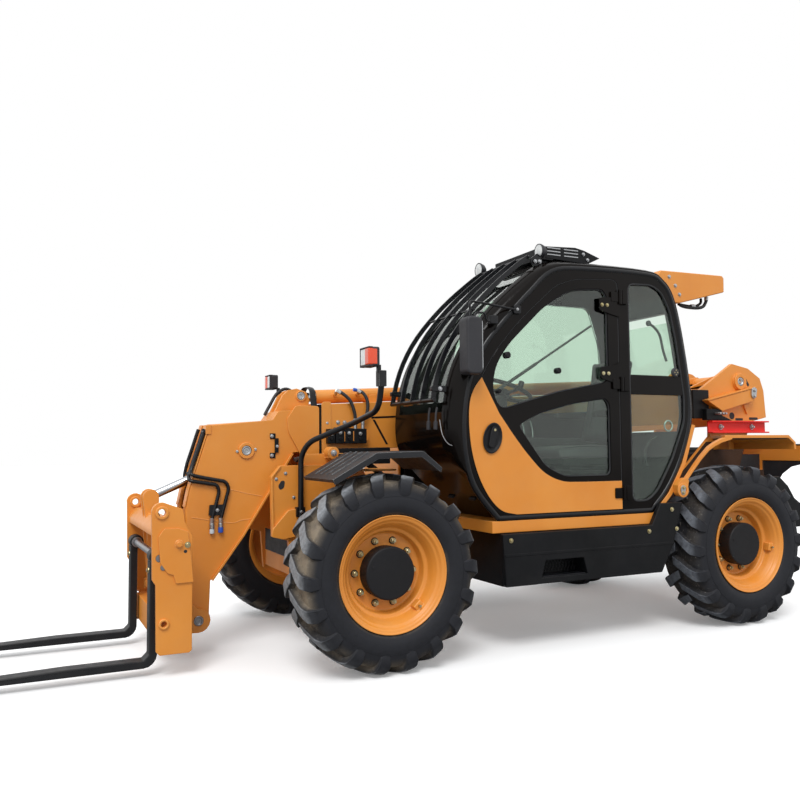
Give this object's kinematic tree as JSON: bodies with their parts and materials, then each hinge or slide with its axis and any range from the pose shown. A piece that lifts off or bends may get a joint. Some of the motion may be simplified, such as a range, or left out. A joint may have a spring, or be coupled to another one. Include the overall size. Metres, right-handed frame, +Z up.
{
  "type": "telescopic handler with pallet forks",
  "caption": "Compact telescopic handler: side cab, engine on the other side, one telescoping boom with a goose-neck head and pallet forks, all wheels driven and steered.",
  "frame": {"origin": "on the ground under the middle of the machine's overall box", "axes": "+X forward, towards the fork tips; +Y to the machine's left, where the cab is; +Z up"},
  "size_m": [6.57, 2.28, 2.6755],
  "materials": {
    "orange_paint": "satin",
    "charcoal_paint": "satin",
    "red_paint": "gloss",
    "grey_steel": "satin",
    "cast_grey": "matt",
    "black_rubber": "matt",
    "black_plastic": "matt",
    "tyre_rubber": "matt",
    "tinted_glass": "clear",
    "seat_vinyl": "satin"
  },
  "bodies": {
    "chassis": {"chassis_frame": "orange_paint", "cab_deck": "orange_paint", "side_tank": "charcoal_paint", "front_fender_left": "charcoal_paint", "front_fender_right": "charcoal_paint", "rear_fender_left": "orange_paint", "rear_fender_right": "orange_paint", "counterweight": "charcoal_paint", "safety_strut": "red_paint", "front_axle": "cast_grey", "rear_axle": "cast_grey", "engine_tray": "charcoal_paint", "engine_block": "cast_grey", "cab_shell": "charcoal_paint", "windscreen": "tinted_glass", "rear_window": "tinted_glass", "right_window": "tinted_glass", "quarter_window": "tinted_glass", "windscreen_guard": "charcoal_paint", "roof_light_bar": "charcoal_paint", "driver_seat": "seat_vinyl", "steering_column": "black_plastic", "mirror_left": "black_plastic", "headlamp_left": "black_plastic", "headlamp_right": "black_plastic", "air_conditioner_housing": "orange_paint", "air_conditioner_hose": "black_rubber"},
    "cab_door": {"door_frame": "charcoal_paint", "door_upper_glass": "tinted_glass", "door_lower_glass": "tinted_glass"},
    "engine_cover": {"engine_cover": "orange_paint"},
    "outer_boom": {"outer_boom": "orange_paint", "extension_barrel": "orange_paint", "boom_hose_rear": "black_rubber", "boom_hose_front": "black_rubber"},
    "inner_boom": {"inner_boom": "orange_paint", "extension_rod": "grey_steel", "coupler_pipes": "charcoal_paint"},
    "carriage": {"fork_carriage": "orange_paint", "fork_shaft": "grey_steel", "fork_left": "charcoal_paint", "fork_right": "charcoal_paint"},
    "lift_barrel": {"lift_barrel": "charcoal_paint"},
    "lift_rod": {"lift_rod": "grey_steel"},
    "tilt_barrel": {"tilt_barrel": "charcoal_paint"},
    "tilt_rod": {"tilt_rod": "grey_steel"},
    "front_left_knuckle": {"front_left_knuckle": "cast_grey"},
    "front_left_wheel": {"front_left_rim": "orange_paint", "front_left_tyre": "tyre_rubber"},
    "front_right_knuckle": {"front_right_knuckle": "cast_grey"},
    "front_right_wheel": {"front_right_rim": "orange_paint", "front_right_tyre": "tyre_rubber"},
    "rear_left_knuckle": {"rear_left_knuckle": "cast_grey"},
    "rear_left_wheel": {"rear_left_rim": "orange_paint", "rear_left_tyre": "tyre_rubber"},
    "rear_right_knuckle": {"rear_right_knuckle": "cast_grey"},
    "rear_right_wheel": {"rear_right_rim": "orange_paint", "rear_right_tyre": "tyre_rubber"}
  },
  "joints": [
    {"name": "boom_lift", "type": "hinge", "parent": "chassis", "child": "outer_boom", "pos_m": [-2.845, 0, 1.84], "axis": [0, -1, 0], "range_deg": [0, 60]},
    {"name": "boom_extend", "type": "slide", "parent": "outer_boom", "child": "inner_boom", "axis": [0.9986, 0, -0.0523], "range_m": [0, 2.7]},
    {"name": "carriage_tilt", "type": "hinge", "parent": "inner_boom", "child": "carriage", "pos_m": [1.73, 0, 0.23], "axis": [0, 1, 0], "range_deg": [-12, 50]},
    {"name": "lift_swing", "type": "hinge", "parent": "chassis", "child": "lift_barrel", "pos_m": [-2.605, 0, 0.8], "axis": [0, -1, 0], "range_deg": [0, 48]},
    {"name": "lift_slide", "type": "slide", "parent": "lift_barrel", "child": "lift_rod", "axis": [0.9595, 0, 0.2815], "range_m": [0, 0.96]},
    {"name": "tilt_swing", "type": "hinge", "parent": "inner_boom", "child": "tilt_barrel", "pos_m": [0.835, 0, 1.5], "axis": [0, 1, 0], "range_deg": [-1.9, 7.6]},
    {"name": "tilt_slide", "type": "slide", "parent": "tilt_barrel", "child": "tilt_rod", "axis": [0.9196, 0, -0.393], "range_m": [-0.16, 0.665]},
    {"name": "cab_door_hinge", "type": "hinge", "parent": "chassis", "child": "cab_door", "pos_m": [-0.95, 1.036, 1.6], "axis": [0, 0, 1], "range_deg": [0, 85]},
    {"name": "engine_cover_hinge", "type": "hinge", "parent": "chassis", "child": "engine_cover", "pos_m": [-0.595, -0.385, 1.388], "axis": [-1, 0, 0], "range_deg": [0, 60]},
    {"name": "front_left_steer", "type": "hinge", "parent": "chassis", "child": "front_left_knuckle", "pos_m": [0.815, 0.74, 0.575], "axis": [0, 0, 1], "range_deg": [-30, 30]},
    {"name": "front_left_spin", "type": "hinge", "parent": "front_left_knuckle", "child": "front_left_wheel", "pos_m": [0.815, 0.94, 0.575], "axis": [0, 1, 0], "continuous": true},
    {"name": "front_right_steer", "type": "hinge", "parent": "chassis", "child": "front_right_knuckle", "pos_m": [0.815, -0.74, 0.575], "axis": [0, 0, 1], "range_deg": [-30, 30]},
    {"name": "front_right_spin", "type": "hinge", "parent": "front_right_knuckle", "child": "front_right_wheel", "pos_m": [0.815, -0.94, 0.575], "axis": [0, 1, 0], "continuous": true},
    {"name": "rear_left_steer", "type": "hinge", "parent": "chassis", "child": "rear_left_knuckle", "pos_m": [-2.035, 0.74, 0.575], "axis": [0, 0, 1], "range_deg": [-30, 30]},
    {"name": "rear_left_spin", "type": "hinge", "parent": "rear_left_knuckle", "child": "rear_left_wheel", "pos_m": [-2.035, 0.94, 0.575], "axis": [0, 1, 0], "continuous": true},
    {"name": "rear_right_steer", "type": "hinge", "parent": "chassis", "child": "rear_right_knuckle", "pos_m": [-2.035, -0.74, 0.575], "axis": [0, 0, 1], "range_deg": [-30, 30]},
    {"name": "rear_right_spin", "type": "hinge", "parent": "rear_right_knuckle", "child": "rear_right_wheel", "pos_m": [-2.035, -0.94, 0.575], "axis": [0, 1, 0], "continuous": true}
  ],
  "couplings": [
    {"joint": "lift_swing", "follows": "boom_lift", "ratio": 0.79},
    {"joint": "lift_slide", "follows": "boom_lift", "m_per_rad": 0.9137},
    {"joint": "tilt_swing", "follows": "carriage_tilt", "ratio": 0.1508},
    {"joint": "tilt_slide", "follows": "carriage_tilt", "m_per_rad": 0.7558},
    {"joint": "front_right_steer", "follows": "front_left_steer", "ratio": 1},
    {"joint": "rear_left_steer", "follows": "front_left_steer", "ratio": -1},
    {"joint": "rear_right_steer", "follows": "front_left_steer", "ratio": -1}
  ]
}
